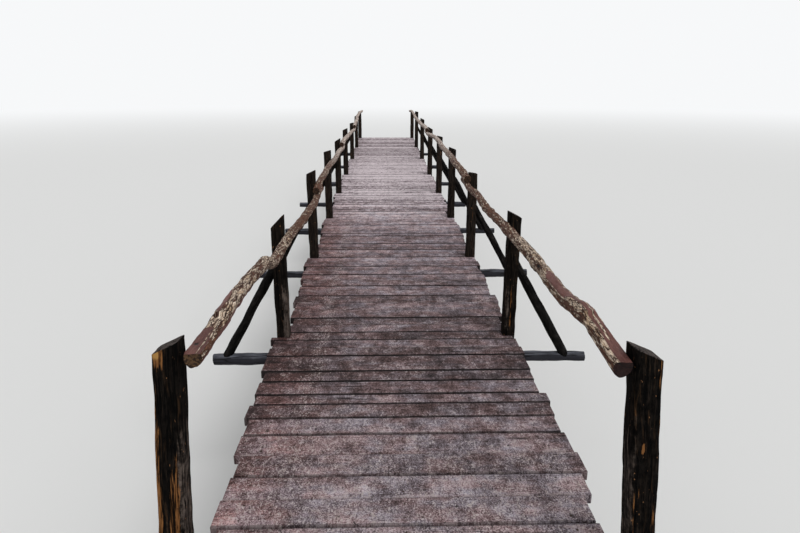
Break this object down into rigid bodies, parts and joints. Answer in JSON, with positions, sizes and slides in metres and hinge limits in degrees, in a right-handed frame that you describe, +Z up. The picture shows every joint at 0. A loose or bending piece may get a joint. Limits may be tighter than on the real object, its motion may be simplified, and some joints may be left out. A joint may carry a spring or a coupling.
{
  "type": "timber footbridge",
  "caption": "Plank footbridge on round crossbeams and piles, with hewn posts, raking braces and crooked peeled-pole hand rails.",
  "frame": {"origin": "ground level under the middle of the bridge", "axes": "+X across the bridge to the right, +Y along it from the near to the far end, +Z up"},
  "size_m": [3.03, 19.07, 2.2923],
  "materials": {
    "deck_wood": "worn reddish-brown stain, dusty and scuffed",
    "rail_wood": "peeled pole with red-brown paint flaking to pale wood",
    "post_wood": "dark charred and tarred, with rusty-brown streaks",
    "beam_wood": "weathered grey round wood",
    "pile_wood": "dark wet round wood"
  },
  "bodies": {
    "root": {"deck_bay_1": "deck_wood", "deck_bay_2": "deck_wood", "deck_bay_3": "deck_wood", "deck_bay_4": "deck_wood", "deck_bay_5": "deck_wood", "deck_bay_6": "deck_wood", "deck_bay_7": "deck_wood", "deck_bay_8": "deck_wood", "stringer_left": "pile_wood", "stringer_middle": "pile_wood", "stringer_right": "pile_wood", "crossbeam_1": "beam_wood", "crossbeam_2": "beam_wood", "crossbeam_3": "beam_wood", "crossbeam_4": "beam_wood", "crossbeam_5": "beam_wood", "crossbeam_6": "beam_wood", "crossbeam_7": "beam_wood", "crossbeam_8": "beam_wood", "crossbeam_9": "beam_wood", "piles_left": "pile_wood", "piles_right": "pile_wood", "posts_1": "post_wood", "posts_2": "post_wood", "posts_3": "post_wood", "posts_4": "post_wood", "posts_5": "post_wood", "posts_6": "post_wood", "posts_7": "post_wood", "posts_8": "post_wood", "posts_9": "post_wood", "braces_2": "post_wood", "braces_3": "post_wood", "braces_4": "post_wood", "braces_5": "post_wood", "braces_6": "post_wood", "braces_7": "post_wood", "braces_8": "post_wood", "rail_left_1": "rail_wood", "rail_left_2": "rail_wood", "rail_left_3": "rail_wood", "rail_left_4": "rail_wood", "rail_right_1": "rail_wood", "rail_right_2": "rail_wood", "rail_right_3": "rail_wood"}
  },
  "joints": []
}
